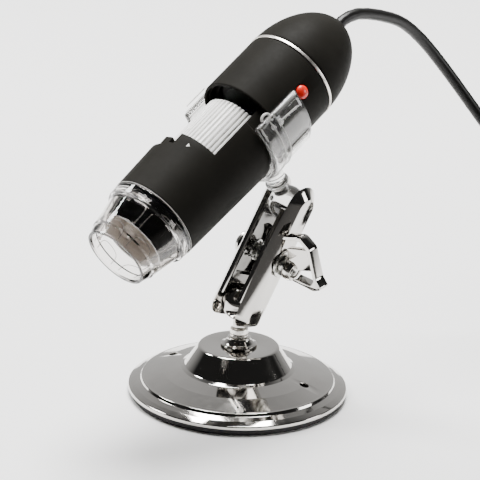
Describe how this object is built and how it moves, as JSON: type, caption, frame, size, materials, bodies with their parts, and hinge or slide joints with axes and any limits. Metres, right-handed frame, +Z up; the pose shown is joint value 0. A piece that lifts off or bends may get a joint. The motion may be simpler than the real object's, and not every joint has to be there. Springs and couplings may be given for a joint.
{
  "type": "usb digital microscope",
  "caption": "Handheld digital microscope in a clear clip holder on a ball-jointed clamp arm with a weighted round chrome base and a coiled cable.",
  "frame": {"origin": "middle of the foot pad's underside, on the surface the stand rests on", "axes": "+Z up along the post; the microscope's nose points to -Y and down"},
  "size_m": [0.0982, 0.2395, 0.123],
  "materials": {
    "chrome": "polished chrome plating",
    "steel": "plain bright steel",
    "cast_iron": "rough casting",
    "rubber": "matte black rubber",
    "soft_black": "soft-touch black coating",
    "inner_black": "moulded black plastic",
    "gloss_black": "glossy black plastic",
    "clear_plastic": "clear moulded plastic",
    "white_plastic": "white moulded plastic",
    "red_plastic": "glossy red plastic",
    "cable_black": "satin black cable sheath",
    "plug_black": "moulded black plug",
    "board": "green circuit board",
    "sensor_glass": "dark sensor window",
    "lens_glass": "coated lens glass",
    "led_white": "clear domed white LED"
  },
  "bodies": {
    "base": {"foot_pad": "rubber", "base_disc": "chrome", "base_weight": "cast_iron", "post_nut": "steel", "post_collar": "chrome"},
    "post": {"ball_post": "chrome"},
    "arm": {"clamp_half_wing": "chrome", "clamp_half_plain": "chrome", "clamp_bolt": "steel", "clamp_spring": "steel", "wing_washer": "steel"},
    "wing": {"wing_handle": "chrome", "handle_nut": "steel"},
    "holder": {"holder_cradle": "clear_plastic"},
    "scope": {"rear_sleeve": "soft_black", "front_housing": "soft_black", "trim_ring": "chrome", "end_cap": "soft_black", "cable_grommet": "cable_black", "chassis": "inner_black", "sensor_board": "board", "image_sensor": "sensor_glass", "main_board": "board", "board_plug": "white_plastic", "tact_switch": "inner_black", "switch_board": "board", "chassis_screw_1": "steel", "chassis_screw_2": "steel", "lamp_tube": "inner_black", "led_board": "board", "led_reflector": "gloss_black", "led_1": "led_white", "led_2": "led_white", "led_3": "led_white", "led_4": "led_white", "led_5": "led_white", "led_6": "led_white", "led_7": "led_white", "led_8": "led_white", "usb_cable": "cable_black", "cable_coil": "cable_black", "cable_tie": "cable_black", "usb_plug_body": "plug_black", "usb_plug_shell": "steel"},
    "wheel": {"focus_wheel": "white_plastic"},
    "lens": {"lens_barrel": "inner_black", "front_lens": "lens_glass"},
    "button": {"snap_button": "red_plastic"},
    "cap": {"nose_cap": "clear_plastic"}
  },
  "joints": [
    {"name": "post_swivel", "type": "hinge", "parent": "base", "child": "post", "pos_m": [0, 0, 0.0312], "axis": [0, 0, 1], "continuous": true},
    {"name": "arm_tilt", "type": "hinge", "parent": "post", "child": "arm", "pos_m": [0, 0, 0.0312], "axis": [0.9719, 0.0757, -0.2227], "range_deg": [-20, 15]},
    {"name": "wing_turn", "type": "hinge", "parent": "arm", "child": "wing", "pos_m": [0.00311, 0.00664, 0.04702], "axis": [0.9719, 0.0757, -0.2227], "continuous": true},
    {"name": "holder_tilt", "type": "hinge", "parent": "arm", "child": "holder", "pos_m": [0.00622, 0.01327, 0.06284], "axis": [0.9719, 0.0757, -0.2227], "range_deg": [-25, 20]},
    {"name": "scope_roll", "type": "hinge", "parent": "holder", "child": "scope", "pos_m": [0.00622, 0.01201, 0.10451], "axis": [0, 0.8555, 0.5179], "range_deg": [-30, 30]},
    {"name": "focus_turn", "type": "hinge", "parent": "scope", "child": "wheel", "pos_m": [0.00622, 0.01201, 0.10451], "axis": [0, 0.8555, 0.5179], "range_deg": [0, 270]},
    {"name": "lens_travel", "type": "slide", "parent": "scope", "child": "lens", "axis": [0, -0.8555, -0.5179], "range_m": [0, 0.0035]},
    {"name": "snap_press", "type": "slide", "parent": "scope", "child": "button", "axis": [-0.9478, 0.1652, -0.2729], "range_m": [0, 0.0008], "stiffness_N_per_m": 600, "springref_m": -0.0005},
    {"name": "cap_pull", "type": "slide", "parent": "scope", "child": "cap", "axis": [0, -0.8555, -0.5179], "range_m": [0, 0.014]}
  ],
  "couplings": [
    {"joint": "lens_travel", "follows": "focus_turn", "m_per_rad": 0.00074}
  ]
}
